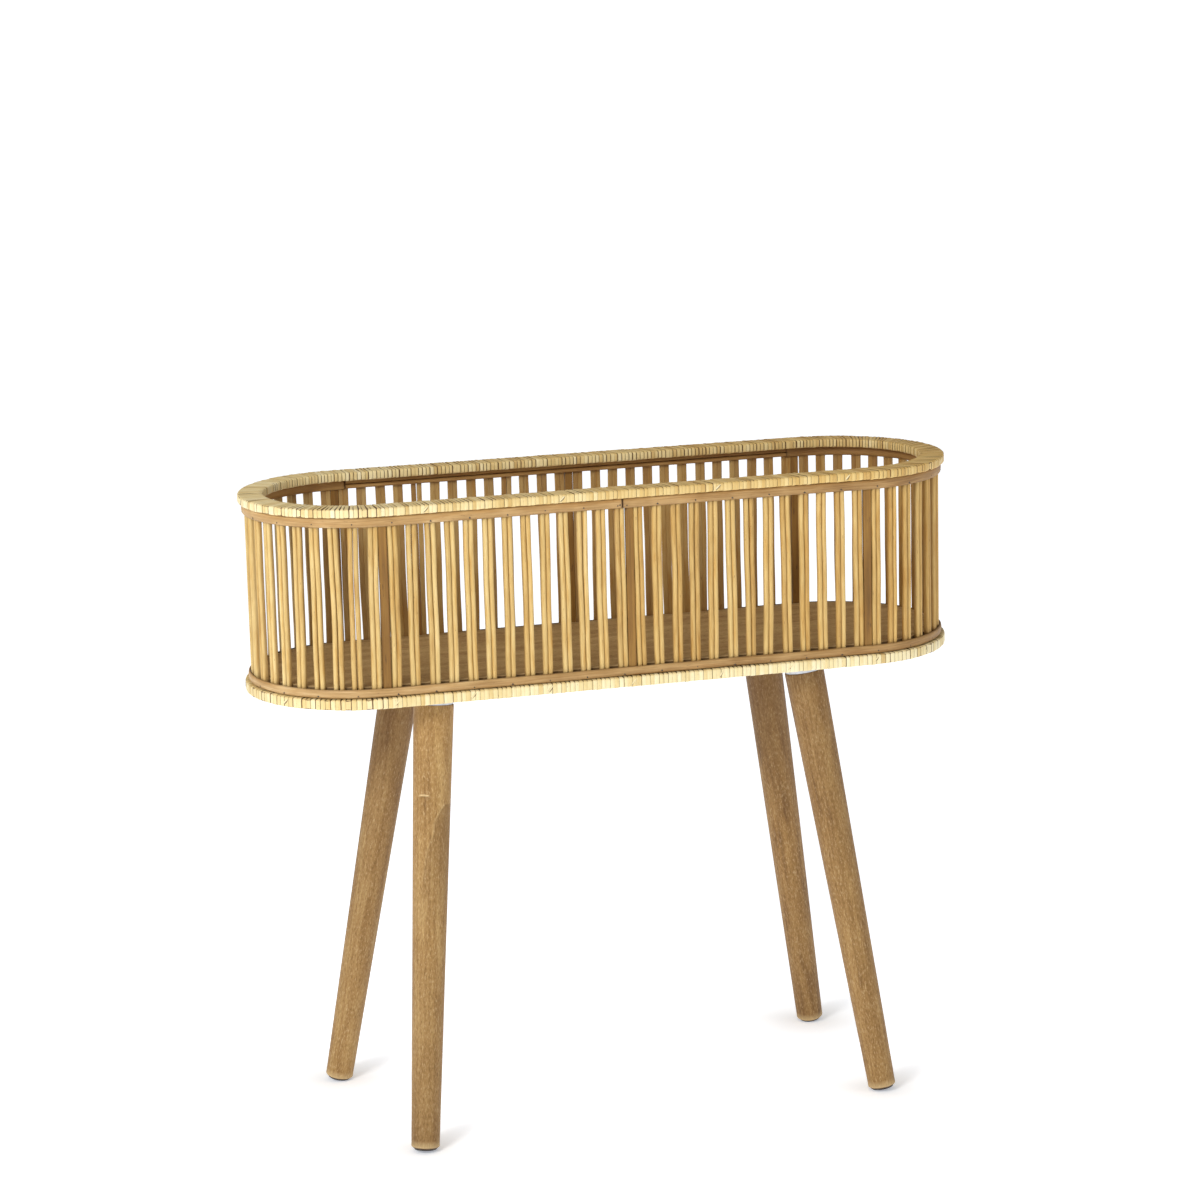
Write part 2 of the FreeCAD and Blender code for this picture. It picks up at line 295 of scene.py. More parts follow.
def piece(name, strands, look, replaced=(), sharp=SHARP):
    """One object of the visual model, on the one body, with what its material reads at each point.
    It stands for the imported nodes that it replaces."""
    mesh = bpy.data.meshes.new(name)
    mesh.from_pydata(strands.points, [], strands.faces)
    shape = bmesh.new()
    shape.from_mesh(mesh)
    bmesh.ops.recalc_face_normals(shape, faces=shape.faces)
    shape.to_mesh(mesh)
    shape.free()
    grain = mesh.attributes.new("grain", "FLOAT_VECTOR", "POINT")
    grain.data.foreach_set("vector", [x for place in strands.grain for x in place])
    # The stain attribute carries stains and painted shade; the wear attribute carries wear, tan and
    # painted light and shade.
    for key, values in (("tint", strands.tint), ("stain_and_shade", strands.stain_and_shade), ("wear_and_painted_light", strands.wear_and_painted_light)):
        mesh.attributes.new(key, "FLOAT", "POINT").data.foreach_set("value", values)
    mesh.shade_smooth()
    mesh.set_sharp_from_angle(angle=sharp)
    mesh.materials.append(materials[look])
    made = add_object(name, mesh)
    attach(made, "root")
    if replaced:
        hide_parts(*replaced)


def random_grain():
    """A place far from the others, so that no two strands share their figure."""
    return Vector([chance.uniform(0, 9) for _ in range(3)])


# Materials


def node(tree, kind, inputs=None, **settings):
    made = tree.nodes.new(kind)
    for key, value in settings.items():
        setattr(made, key, value)
    for key, value in (inputs or {}).items():
        if isinstance(value, bpy.types.NodeSocket):
            tree.links.new(value, made.inputs[key])
        else:
            made.inputs[key].default_value = value
    return made


def colour(red, green, blue):
    """A colour given in display values, as the linear one that a shader takes."""
    return tuple(((v / 255 + 0.055) / 1.055) ** 2.4 for v in (red, green, blue)) + (1.0,)


def ramp(tree, factor, shades, low=0.0, width=1.0):
    """The shades in even steps, over this width of the factor from its low end."""
    made = node(tree, "ShaderNodeValToRGB", {"Fac": factor})
    elements = made.color_ramp.elements
    while len(elements) < len(shades):
        elements.new(0.5)
    for i, element in enumerate(elements):
        element.position = low + width * i / (len(shades) - 1)
        element.color = shades[i]
    return made.outputs["Color"]


def mixed(tree, factor, first, second, blend="MIX"):
    inputs = {0: factor, 6: first, 7: second}
    return node(tree, "ShaderNodeMix", inputs, data_type="RGBA", blend_type=blend).outputs[2]


def math_node(tree, operation, first, second):
    return node(tree, "ShaderNodeMath", {0: first, 1: second}, operation=operation).outputs[0]


def spread(tree, value, low, high, new_low=0.0, new_high=1.0):
    made = node(tree, "ShaderNodeMapRange", {0: value, 1: low, 2: high, 3: new_low, 4: new_high})
    return made.outputs[0]


def read(tree, name):
    made = node(tree, "ShaderNodeAttribute", attribute_name=name, attribute_type="GEOMETRY")
    return made.outputs["Vector" if name == "grain" else "Fac"]


def object_place(tree):
    return node(tree, "ShaderNodeTexCoord").outputs["Object"]


def noise(tree, place, along, across, detail=4.0, roughness=0.55, distortion=0.0):
    """Noise drawn out along the grain: sizes are in waves per metre along and across it."""
    stretched = node(tree, "ShaderNodeMapping", {"Vector": place, "Scale": (along, across, across)})
    values = {"Vector": stretched.outputs[0], "Scale": 1.0, "Detail": detail}
    values.update({"Roughness": roughness, "Distortion": distortion})
    return node(tree, "ShaderNodeTexNoise", values).outputs["Fac"]


def shader(name, roughness, specular=0.5):
    material = bpy.data.materials.new(name)
    material.use_nodes = True
    tree = material.node_tree
    surface = tree.nodes["Principled BSDF"]
    surface.inputs["Roughness"].default_value = roughness
    surface.inputs["Specular IOR Level"].default_value = specular
    return material, tree, surface


def paint(tree, surface, base, height, finish):
    """The base colour, and from one height the roughness and a bump. The finish holds the least
    and the most roughness and the bump's depth."""
    low, high, depth = finish
    tree.links.new(base, surface.inputs["Base Color"])
    tree.links.new(spread(tree, height, 0.3, 0.7, low, high), surface.inputs["Roughness"])
    bump = node(tree, "ShaderNodeBump", {"Height": height, "Strength": 1.0, "Distance": depth})
    tree.links.new(bump.outputs[0], surface.inputs["Normal"])


def fibre_material(name, colours, waves, finish, shares, streaks=0.0):
    """Peeled rattan or cane: fibres along the strand, mottling, a tint for each strand, stains and
    tan, both of which also carry painted shade, and small flecks. The first colour is that of the
    stains, the flecks and the painted shade, the waves are counted along and across the strand,
    and the shares are those of the fibres and of the strand's tint."""
    stain_and_shade, *shades = [colour(*values) for values in colours]
    along, across = waves
    fine_share, tint_share = shares
    material, tree, surface = shader(name, finish[0], 0.4)
    place = read(tree, "grain")
    fibres = noise(tree, place, along, across, 5.0, 0.65)
    mottling = noise(tree, place, along * 0.9, across * 0.12, 3.0, 0.5)
    tint = math_node(tree, "MULTIPLY", read(tree, "tint"), tint_share)
    fine = math_node(tree, "MULTIPLY", spread(tree, fibres, 0.3, 0.7), fine_share)
    slow_share = 1.0 - tint_share - fine_share
    slow = math_node(tree, "MULTIPLY", spread(tree, mottling, 0.3, 0.7), slow_share)
    total = math_node(tree, "ADD", math_node(tree, "ADD", tint, fine), slow)
    base = ramp(tree, total, shades)
    if streaks:
        brown = noise(tree, place, along * 0.6, across * 0.3, 3.0, 0.6)
        base = mixed(tree, spread(tree, brown, 0.50, 0.68, 0.0, streaks), base, TAN, "MULTIPLY")
    flecks = noise(tree, place, along * 4.0, across * 0.8, 2.0, 0.5)
    base = mixed(tree, spread(tree, flecks, 0.70, 0.76, 0.0, 0.55), base, stain_and_shade)
    # Tan, and on the top hoop and the reeds painted shade and light.
    base = mixed(tree, read(tree, "wear_and_painted_light"), base, TAN, "MULTIPLY")
    # Stains, and painted shade in slits, on inner faces and where parts meet.
    base = mixed(tree, read(tree, "stain_and_shade"), base, stain_and_shade)
    paint(tree, surface, base, fibres, finish)
    return material


def cad_fibre_material(name, colours, across):
    """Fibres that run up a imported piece, which has no grain of its own to read."""
    stain_and_shade, *shades = [colour(*values) for values in colours]
    material, tree, surface = shader(name, 0.6, 0.4)
    place = object_place(tree)
    turned = {"Vector": place, "Rotation": (0.0, math.pi / 2, 0.0)}
    upright = node(tree, "ShaderNodeMapping", turned).outputs[0]
    fibres = noise(tree, upright, 8.0, across, 5.0, 0.65)
    mottling = noise(tree, upright, 12.0, across * 0.15, 3.0, 0.5)
    total = math_node(tree, "MULTIPLY", math_node(tree, "ADD", fibres, mottling), 0.5)
    base = ramp(tree, total, shades, 0.3, 0.4)
    flecks = noise(tree, upright, 60.0, across * 0.5, 2.0, 0.5)
    base = mixed(tree, spread(tree, flecks, 0.66, 0.74, 0.0, 0.6), base, stain_and_shade)
    paint(tree, surface, base, fibres, (0.5, 0.75, 0.0001))
    return material


def wood_material(name, colours, ring_scale, pith, finish, streaks):
    """Stained wood: growth rings about a pith beside the piece, long streaks, open pores, a few
    scars, dark stain in corners and painted shade, as each point asks, and bare lighter wood where
    it is worn, on the board's edge partly a painted highlight. The first two colours are those of
    the stain and painted shade and of the bare wood."""
    stain_and_shade, worn, *shades = [colour(*values) for values in colours]
    material, tree, surface = shader(name, finish[0], 0.35)
    place = read(tree, "grain")
    bend = noise(tree, place, 5.0, 28.0, 3.0, 0.5)
    moved = node(tree, "ShaderNodeMapping", {"Vector": place, "Location": pith, "Scale": (0.06, 1.0, 1.0)})
    wander = node(tree, "ShaderNodeVectorMath", {0: moved.outputs[0]}, operation="ADD")
    shift = math_node(tree, "MULTIPLY", bend, 0.012)
    tree.links.new(node(tree, "ShaderNodeCombineXYZ", {1: shift, 2: shift}).outputs[0], wander.inputs[1])
    values = {"Vector": wander.outputs[0], "Scale": ring_scale, "Distortion": 0.6, "Detail": 2.0}
    rings = node(tree, "ShaderNodeTexWave", values, wave_type="RINGS", rings_direction="X")
    long_streaks = noise(tree, place, 7.0, 190.0, 5.0, 0.6)
    patches = noise(tree, place, 14.0, 60.0, 4.0, 0.6, 0.4)
    pores = noise(tree, place, 230.0, 750.0, 4.0, 0.65)
    total = math_node(tree, "MULTIPLY", rings.outputs["Fac"], 0.16)
    for part, share in ((long_streaks, streaks), (patches, 0.84 - streaks)):
        added = math_node(tree, "MULTIPLY", spread(tree, part, 0.24, 0.76), share)
        total = math_node(tree, "ADD", total, added)
    tinted = math_node(tree, "MULTIPLY", read(tree, "tint"), 0.6)
    total = math_node(tree, "ADD", total, math_node(tree, "SUBTRACT", tinted, 0.3))
    base = ramp(tree, total, shades, 0.05, 0.9)
    base = mixed(tree, spread(tree, pores, 0.52, 0.70, 0.0, 0.50), base, stain_and_shade)
    base = mixed(tree, spread(tree, pores, 0.46, 0.30, 0.0, 0.42), base, worn)
    scars = noise(tree, place, 45.0, 210.0, 1.0, 0.4, 0.3)
    base = mixed(tree, spread(tree, scars, 0.79, 0.84, 0.0, 0.8), base, stain_and_shade)
    # Stains, and painted shade along the legs and by the board's edge.
    base = mixed(tree, read(tree, "stain_and_shade"), base, stain_and_shade)
    # Wear, and on the board's edge partly a painted highlight.
    base = mixed(tree, read(tree, "wear_and_painted_light"), base, worn)
    paint(tree, surface, base, pores, finish)
    return material


def metal_material(name, base, finish):
    """Plated steel: brushed scratches, a cloudy shine and dull smudges."""
    material, tree, surface = shader(name, finish[0])
    surface.inputs["Metallic"].default_value = 1.0
    place = object_place(tree)
    cloud = noise(tree, place, 60.0, 60.0, 4.0, 0.6)
    lines = noise(tree, place, 90.0, 2600.0, 2.0, 0.5)
    dull = tuple(0.62 * v for v in base[:3]) + (1.0,)
    clouded = mixed(tree, spread(tree, cloud, 0.35, 0.75), base, dull)
    fine = math_node(tree, "MULTIPLY", lines, 0.6)
    height = math_node(tree, "ADD", fine, math_node(tree, "MULTIPLY", cloud, 0.4))
    paint(tree, surface, clouded, height, finish)
    return material


def plastic_material(name, base, worn):
    """The moulded glide: fine grain and a scuffed, dusty edge."""
    material, tree, surface = shader(name, 0.5)
    place = object_place(tree)
    grain = noise(tree, place, 900.0, 900.0, 3.0, 0.6)
    scuffs = noise(tree, place, 160.0, 160.0, 5.0, 0.7)
    scuffed = mixed(tree, spread(tree, scuffs, 0.5, 0.75), base, worn)
    paint(tree, surface, scuffed, grain, (0.45, 0.7, 0.00005))
    return material


def make_materials():
    """The colours of fibres and wood are display values, and the others are linear."""
    return {
        "cane": fibre_material(
            "cane_peel",
            [(92, 56, 22), (194, 160, 100), (222, 197, 137), (236, 219, 168), (249, 239, 204)],
            (60.0, 1600.0), (0.36, 0.55, 0.00006), (0.22, 0.6),
        ),
        "reed": fibre_material(
            "peeled_reed",
            [(110, 63, 23), (162, 126, 68), (197, 164, 100), (218, 190, 127), (238, 216, 160)],
            (34.0, 800.0), (0.5, 0.7, 0.00008), (0.42, 0.34), 0.9,
        ),
        "band": fibre_material(
            "split_band",
            [(64, 36, 14), (112, 78, 39), (156, 119, 69), (188, 152, 100), (222, 194, 146)],
            (26.0, 700.0), (0.45, 0.65, 0.00010), (0.38, 0.3), 0.6,
        ),
        "rod": fibre_material(
            "inner_rod", [(58, 35, 14), (130, 93, 49), (164, 125, 72), (188, 151, 95)],
            (22.0, 800.0), (0.5, 0.7, 0.00008), (0.4, 0.2), 0.4,
        ),
        "post": cad_fibre_material(
            "post_wood", [(60, 38, 14), (102, 70, 25), (133, 94, 38), (164, 123, 57)], 700.0
        ),
        "core": cad_fibre_material("core_wood", [(44, 26, 10), (84, 52, 24), (112, 74, 38)], 400.0),
        "leg": wood_material(
            "stained_leg",
            [
                (68, 38, 9), (232, 206, 156),
                (112, 78, 38), (148, 111, 60), (168, 131, 77), (188, 154, 98),
            ],
            70.0, (0.0, 0.011, 0.009), (0.5, 0.68, 0.00006), 0.28,
        ),
        "board": wood_material(
            "base_board",
            [
                (62, 40, 18), (212, 182, 132),
                (146, 108, 62), (172, 136, 84), (192, 158, 104), (210, 180, 126),
            ],
            40.0, (0.0, 0.02, 0.03), (0.6, 0.8, 0.00008), 0.25,
        ),
        "steel": metal_material("plated_steel", (0.56, 0.57, 0.58, 1.0), (0.30, 0.50, 0.00002)),
        "nail": metal_material("nail_steel", (0.12, 0.10, 0.085, 1.0), (0.45, 0.7, 0.00004)),
        "glide": plastic_material("glide_plastic", (0.030, 0.024, 0.020, 1.0), (0.16, 0.14, 0.12, 1.0)),
    }


materials = make_materials()


# The wraps of cane peel


def wrap_path(inside, outside, bottom, top):
    """Once round a hoop's section, from the middle of its underside. Each step is a distance out,
    a height, the direction it faces, its share of the way inwards and its share of the advance."""
    corner = WRAP_CORNER
    depth = outside - inside
    half_height = (bottom + top) / 2
    corners = [
        (outside - corner, bottom + corner, -90, [(0.0, half_height)]),
        (outside - corner, top - corner, 0, [(share, top) for share in (0.2, 0.35, 0.5, 0.8)]),
        (inside + corner, top - corner, 90, [(1.0, half_height)]),
        (inside + corner, bottom + corner, 180, []),
    ]
    steps = [((inside + outside) / 2, bottom, 0.0, -1.0, 0.5, -0.5)]
    for index, (out, height, first, flat) in enumerate(corners):
        for degrees in (0, 30, 60, 90):
            facing = math.radians(first + degrees)
            x, z = math.cos(facing), math.sin(facing)
            share = clamp((outside - out - corner * x) / depth)
            advance = -share if index == 0 else (1.0 - share if index == 3 else 0.0)
            steps.append((out + corner * x, height + corner * z, x, z, share, advance))
        for share, level in flat:
            steps.append((outside - share * depth, level, x, z, share, 0.0))
    return steps


# A wrap's section: shares of its width, depths below its crown, and how far its edges are stained,
# which deepens as painted shade where they part. Then the gaps and slits that the wraps leave,
# and how often each width of slit is drawn
WRAP_BACK = 0.0009
WRAP_PROFILE = [
    (-0.5, 0.00026, 1.0),
    (-0.40, 0.00005, 0.0),
    (0.0, 0.0, 0.0),
    (0.40, 0.00005, 0.0),
    (0.5, 0.00026, 1.0),
    (0.44, WRAP_BACK, 1.2),
    (-0.44, WRAP_BACK, 1.2),
]
WRAP_GAPS = (0.00003, 0.00010, 0.00022)
TOP_SLITS = (0.0, 0.0007, 0.0012)
INNER_SLITS = (0.0002, 0.0007, 0.0013)
SLITS_ELSEWHERE = (3, 4, 3)
SLITS_ON_LEFT_END = (8, 1, 1)
SLITS_AT_CORNER = (1, 4, 4)
GAPS_DRAWN = (6, 3, 1)
INNER_SLITS_DRAWN = (2, 4, 3)


def wraps(inside, outside, bottom, top, rim_pitch, slants, lightness, tan_and_shade_steps):
    """One strip of cane peel wound round and round the hoop and closed on itself. Some turns don't
    meet: a slit is left on the top, near the outer corner, or down the inner face."""
    strands = Strands()
    length = loop_length(WRAP_LINE)
    turns = round(length / rim_pitch)
    slant_left, slant_right = slants
    light_left, light_right = lightness
    left, near, right = tan_and_shade_steps
    starts = [length * i / turns + chance.uniform(-WRAP_JITTER, WRAP_JITTER) for i in range(turns)]
    starts.append(starts[0] + length)
    path = wrap_path(inside, outside, bottom, top)
    offset = random_grain()
    run = 0.0
    for i in range(turns):
        pitch = starts[i + 1] - starts[i]
        x, y = plan(starts[i], WRAP_LINE, WRAP_LINE)
        slits_at = SLITS_ELSEWHERE
        if x < -HALF_STRAIGHT:
            slits_at = SLITS_AT_CORNER if y < -0.7 * WRAP_LINE else SLITS_ON_LEFT_END
        share = clamp((x + HALF_STRAIGHT) / (2 * HALF_STRAIGHT))
        slant = slant_left + (slant_right - slant_left) * share
        wide = pitch * chance.uniform(1.0, 1.1)
        gap = chance.choices(WRAP_GAPS, GAPS_DRAWN)[0]
        top_slit = chance.choices(TOP_SLITS, slits_at)[0]
        inner_slit = chance.choices(INNER_SLITS, INNER_SLITS_DRAWN)[0]
        sunk = WRAP_SINK * chance.uniform(0.1, 1.6)
        light = light_left + (light_right - light_left) * share
        tint = clamp(chance.gauss(light, TINT_SPREAD))
        # Tan along the hoop; on the top hoop its rise to the right is painted shade.
        tan_and_shade_along = left + (near - left) * min(1.0, 4 * share) + (right - near) * max(0.0, (4 * share - 1) / 3)
        tan_and_shade_along += chance.uniform(-0.12, 0.12)
        last = path[-1]
        for out, height, facing_out, facing_up, inward, advance in path:
            run += math.hypot(out - last[0], height - last[1])
            last = (out, height)
            at = starts[i] + slant * inward + pitch * advance
            longer = stretch(at, WRAP_LINE, out)
            upward = max(0.0, facing_up)
            flat = max(0.0, 5 * upward - 4)
            opened = gap + top_slit * flat * clamp(1.8 - 2 * inward)
            opened += inner_slit * max(-0.5 * facing_out, flat * max(0.0, 5 * inward - 4))
            width = min(wide, pitch * longer) - opened
            # Where a gap or slit opens, the wrap's edges are darkened as painted shade in the slit.
            edge_stain_and_slit_shade = 0.15 + 0.75 * min(1.0, opened / TOP_SLITS[1])
            # Painted shade and light: the top face is tanned a little more and the inner face less.
            tan_and_painted_shade = clamp(tan_and_shade_along * (1 - 0.6 * max(0.0, -facing_out)) + 0.15 * upward)
            for side, depth, stained in WRAP_PROFILE:
                low = depth + (WRAP_SINK if depth == WRAP_BACK else sunk)
                shift = at + side * width / longer
                place = plan_point(shift, WRAP_LINE, out - low * facing_out, height - low * facing_up)
                # The top face is also darkened a little as painted shade.
                stain_and_shade = min(1.0, edge_stain_and_slit_shade * stained + 0.03 * upward)
                strands.point(place, offset + Vector((run, side * width, 0)), tint, stain_and_shade, tan_and_painted_shade)
    strands.skin(0, turns * len(path), len(WRAP_PROFILE), closed=True)
    return strands


# A cane end's section: shares of its width, depths below its crown, and how far it is darkened.
# Its dark edges are painted shade of the slit under the tucked tip
TONGUE_PROFILE = (
    (-0.5, 0.0003, 1.0),
    (-0.25, 0.00015, 1.0),
    (-0.1, 0.0, 0.1),
    (0.4, 0.00005, 0.0),
    (0.5, 0.0003, 0.6),
    (0.0, 0.0007, 1.0),
)


def tongues(places, outside, bottom, top):
    """Where one length of cane ends, its tip is tucked in across the next wraps at a slant."""
    strands = Strands()
    middle_height = (bottom + top) / 2
    for at in places:
        offset = random_grain()
        start = len(strands.points)
        lean = chance.uniform(0.75, 1.1)
        for i in range(TONGUE_RINGS):
            share = i / (TONGUE_RINGS - 1) - 0.5
            width = TONGUE_WIDTH * (1.0 - 0.7 * abs(2 * share) ** 3)
            for side, depth, stain_and_shade in TONGUE_PROFILE:
                along = TONGUE_LENGTH * share
                x = along * math.cos(lean) - side * width * math.sin(lean)
                z = along * math.sin(lean) + side * width * math.cos(lean)
                place = plan_point(at + x, WRAP_LINE, outside - depth, middle_height + z)
                strands.point(place, offset + Vector((along, side * width, 0)), 0.8, stain_and_shade)
        strands.skin(start, TONGUE_RINGS, len(TONGUE_PROFILE))
    return strands


def build_rims():
    """The wraps of both hoops, and the strips' ends: those seen in front, and the rest by chance."""
    rims = (
        ("top", RIM_OUTSIDE - TOP_RIM_DEPTH, TOP_WRAPS, TOP_TIPS),
        ("bottom", BOARD_OUTSIDE + BOARD_GAP, BOTTOM_WRAPS, BOTTOM_TIPS),
    )
    for name, inside, row, seen in rims:
        low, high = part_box(name + "_rim_binding")
        strands = wraps(inside, RIM_OUTSIDE, low.z, high.z, *row)
        piece(name + "_rim_wraps", strands, "cane", (name + "_rim_binding",))
        step = seen[1] - seen[0]
        places = list(seen)
        while places[-1] + 1.5 * step < seen[0] + loop_length(WRAP_LINE):
            places.append(places[-1] + step * chance.uniform(0.8, 1.2))
        tips = tongues(places, RIM_OUTSIDE, low.z, high.z)
        piece(name + "_rim_cane_ends", tips, "cane")


# The reeds


def reed_outline():
    """A reed's section, flat inside and round outside, as (outward, sideways, stain and shade) steps.
    The two places are shares of half its depth and width; the peeled front is clean and the rest
    browner, partly the reed's own colour and partly painted shade of the basket's inside."""
    eased = 1.0 - 2 * REED_EASE / REED_DEPTH
    steps = [(-1.0, 0.0, 1.0), (-1.0, eased, 1.0), (-eased, 1.0, 1.0), (0.0, 1.0, 0.62)]
    for degrees in (30, 60, 90, 120, 150):
        turn = math.radians(degrees)
        steps.append((math.sin(turn), math.cos(turn), 0.45 * max(0.0, abs(math.cos(turn)) - 0.5)))
    return steps + [(0.0, -1.0, 0.62), (-eased, -1.0, 1.0), (-1.0, -eased, 1.0)]


def reed(strands, at, out_x, out_y, low, high, lean, bow, wave):
    """One reed, which leans, bows and waves a little along the wall and varies in width."""
    offset = random_grain()
    tint = clamp(chance.gauss(0.52, TINT_SPREAD))
    # Tanned more towards the right as painted shade, with some tan of its own at random.
    tan_and_painted_shade = clamp(0.25 + 0.9 * at.x + chance.uniform(-0.2, 0.35))
    start = len(strands.points)
    phase = chance.uniform(0, 2 * math.pi)
    half_width = REED_WIDTH / 2 * chance.uniform(0.975, 1.0)
    half_depth = REED_DEPTH / 2 - REED_CLEARANCE
    # The inner face and sides are darker: partly the reed's own browner colour, partly painted shade of
    # the basket's inside.
    inner_stain_and_shade = chance.uniform(0.34, 0.56)
    outline = reed_outline()
    for i in range(REED_RINGS):
        share = i / (REED_RINGS - 1)
        height = low + (high - low) * share
        along = lean * (share - 0.5) + bow * math.sin(math.pi * share)
        along += REED_WAVE * math.sin(12 * share + wave)
        swell = 1 + REED_SWELL * math.sin(9 * share + phase)
        # Darker within two per cent of the length from each end.
        end = max(0.0, 1 - min(share, 1 - share) / 0.02)
        for outward, sideways, stain_and_shade in outline:
            out = half_depth * outward
            aside = along + half_width * swell * sideways
            x = at.x + out_x * out - out_y * aside
            y = at.y + out_y * out + out_x * aside
            place = Vector((x, y, height))
            grain = offset + Vector((height, out, half_width * sideways))
            strands.point(place, grain, tint, min(1.0, inner_stain_and_shade * stain_and_shade + 0.4 * end), tan_and_painted_shade)
    strands.skin(start, REED_RINGS, len(outline))


def reed_pair(strands, at, out_x, out_y, low, high):
    """Two reeds side by side. They lean together, and now and then they part at one end."""
    lean = chance.gauss(0, PAIR_LEAN)
    bow = chance.gauss(0, PAIR_BOW)
    part = chance.choice(PAIR_PARTINGS)
    top_or_foot = chance.choice((-1, 1))
    wave = chance.uniform(0, 6)
    for side in (-1, 1):
        shift = side * (REED_SPACING + part) / 2
        place = Vector((at.x - out_y * shift, at.y + out_x * shift))
        reed(strands, place, out_x, out_y, low, high, lean + side * top_or_foot * part, bow, wave)


def build_reeds():
    """The reeds of each quarter of the straight sides and of each end, one piece for each node."""
    chance.seed(REED_SEED)
    for end, side_x in (("left", -1), ("right", 1)):
        for face, side_y in (("front", -1), ("back", 1)):
            name = "reeds_" + face + "_" + end
            low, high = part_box(name)
            strands = Strands()
            for i in range(SIDE_PAIRS):
                at = Vector((side_x * SIDE_PITCH * (i + 0.5), side_y * REED_LINE))
                reed_pair(strands, at, 0, side_y, low.z, high.z)
            piece("round_" + name, strands, "reed", (name,))
        name = "reeds_" + end + "_end"
        low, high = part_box(name)
        strands = Strands()
        for i in range(END_PAIRS):
            turn = math.pi * (i + 0.5) / END_PAIRS
            out_x, out_y = side_x * math.sin(turn), -math.cos(turn)
            at = Vector((side_x * HALF_STRAIGHT + REED_LINE * out_x, REED_LINE * out_y))
            reed_pair(strands, at, out_x, out_y, low.z, high.z)
        piece("round_" + name, strands, "reed", (name,))


# Bands, rods and nails


def carried(strands, section, start, length, line, wave, ends_stain=0.9):
    """A strip carried along the plan from this start, which wanders up and down a little. The
    section's steps are a distance out, a height and a stain with painted shade. It is lighter
    towards the left as painted light."""
    offset = random_grain()
    first = len(strands.points)
    count = round(length / STEP)
    phase = chance.uniform(0, 6)
    places = END_STEPS + [length * i / count for i in range(1, count)]
    places += [length - x for x in reversed(END_STEPS)]
    for along in places:
        wander = wave * (math.sin(along * 19 + phase) + 0.6 * math.sin(along * 47 + 2 * phase)) / 1.6
        near = min(along, length - along)
        stained = ends_stain * max(0.0, 1 - near / END_STAIN_REACH)
        for out, height, stain_and_shade in section:
            place = plan_point(start + along, line, out, height + wander)
            grain = offset + Vector((along, height, out))
            # Painted light: the tint falls from the left to the right.
            tint = clamp(0.45 - 1.3 * place.x)
            strands.point(place, grain, tint, min(1.0, stain_and_shade + stained))
    strands.skin(first, len(places), len(section))


def band_section(back, face, low, high):
    """A split strip: flat at its back, a little crowned on its face, with eased edges. Its back and
    edges are darkened as painted shade where it meets the reeds and the hoop.
    """
    toward = 1 if face > back else -1
    crown = BAND_CROWN * toward
    brow = face - crown - BAND_EDGE * toward
    half = (low + high) / 2
    return [
        (back, low + BAND_HEM, 0.8),
        (brow, low, 0.45),
        (face - crown, low + BAND_EDGE, 0.08),
        (face - crown * 0.3, (low + half) / 2, 0.0),
        (face, half, 0.0),
        (face - crown * 0.3, (high + half) / 2, 0.0),
        (face - crown, high - BAND_EDGE, 0.0),
        (brow, high, 0.3),
        (back, high - BAND_HEM, 0.9),
    ]


def nail(strands, at, line, out, height):
    """A small domed head, driven in until its rim is a little below the surface."""
    start = len(strands.points)
    radius = NAIL_HEAD / 2 * chance.uniform(0.85, 1.15)
    rings = [(1.0, -NAIL_ROOT), (1.0, 0.0)]
    rings += [(0.8, 0.6 * NAIL_RISE), (0.4, 0.95 * NAIL_RISE), (0.05, NAIL_RISE)]
    for share, rise in rings:
        for turn in angles(NAIL_SIDES):
            x, z = radius * share * math.cos(turn), radius * share * math.sin(turn)
            strands.point(plan_point(at + x, line, out + rise, height + z), Vector((x, z, 0)), 0.5)
    strands.skin(start, len(rings), NAIL_SIDES)


def dent(strands, at, line, out, height):
    """The dark bruise that the driven nail leaves in the strip."""
    start = len(strands.points)
    radius = NAIL_HEAD / 2 * chance.uniform(1.3, 1.7)
    rings = ((1.0, -0.0004), (1.0, 0.00003), (0.5, 0.00005))
    for share, rise in rings:
        for turn in angles(DENT_SIDES):
            uneven = radius * share * (1 + 0.18 * math.sin(2 * turn + at * 900))
            x, z = 1.25 * uneven * math.cos(turn), 0.8 * uneven * math.sin(turn)
            place = plan_point(at + x, line, out + rise, height + z)
            strands.point(place, Vector((at + x, z, 0)), 0.3, 0.75)
    strands.skin(start, len(rings), DENT_SIDES)


def nail_places(line, joint):
    """One nail in every second pair and one on each side of the strip's joint."""
    places = [joint + aside for aside in NAILS_BY_JOINT]
    half = SIDE_PAIRS // 2
    for k in range(-half, half + 1):
        x = SIDE_PITCH * (2 * k - 0.5)
        places.append(x + chance.uniform(-NAIL_JITTER, NAIL_JITTER))
        places.append(loop_length(line) / 2 - x + chance.uniform(-NAIL_JITTER, NAIL_JITTER))
    for k in range(0, END_PAIRS, 2):
        turned = math.pi * line * (k + 0.5) / END_PAIRS
        places.append(HALF_STRAIGHT + turned)
        places.append(3 * HALF_STRAIGHT + math.pi * line + turned)
    return places


